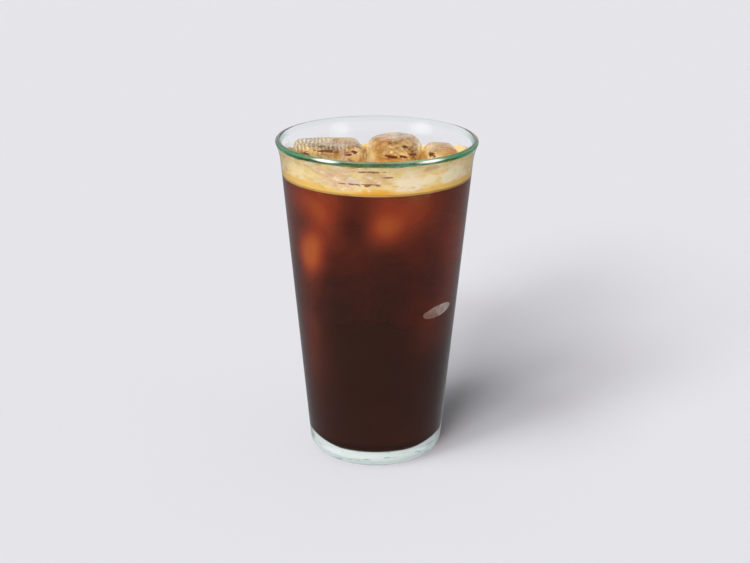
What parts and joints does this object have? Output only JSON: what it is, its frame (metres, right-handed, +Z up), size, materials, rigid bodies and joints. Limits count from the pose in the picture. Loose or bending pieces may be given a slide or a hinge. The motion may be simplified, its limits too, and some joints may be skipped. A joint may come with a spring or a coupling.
{
  "type": "glass of iced americano",
  "caption": "Tall flared clear tumbler of black iced coffee with a thin golden crema and melting ice cubes standing out of the top.",
  "frame": {"origin": "centre of the tumbler's foot, on the surface it stands on", "axes": "+Z up through the open mouth; +Y away from the viewer, across the two rows of ice"},
  "size_m": [0.092, 0.092, 0.1513],
  "materials": {
    "glass": "clear fire-polished glass with a sea-green tint at the lip",
    "coffee": "dark red-brown see-through liquid",
    "crema": "thin golden foam, satin",
    "ice": "wet clear ice with small bubbles"
  },
  "bodies": {
    "root": {"glass": "glass", "coffee": "coffee", "crema": "crema", "ice_left": "ice", "ice_middle": "ice", "ice_right": "ice", "ice_near_left": "ice", "ice_near_right": "ice"}
  },
  "joints": []
}
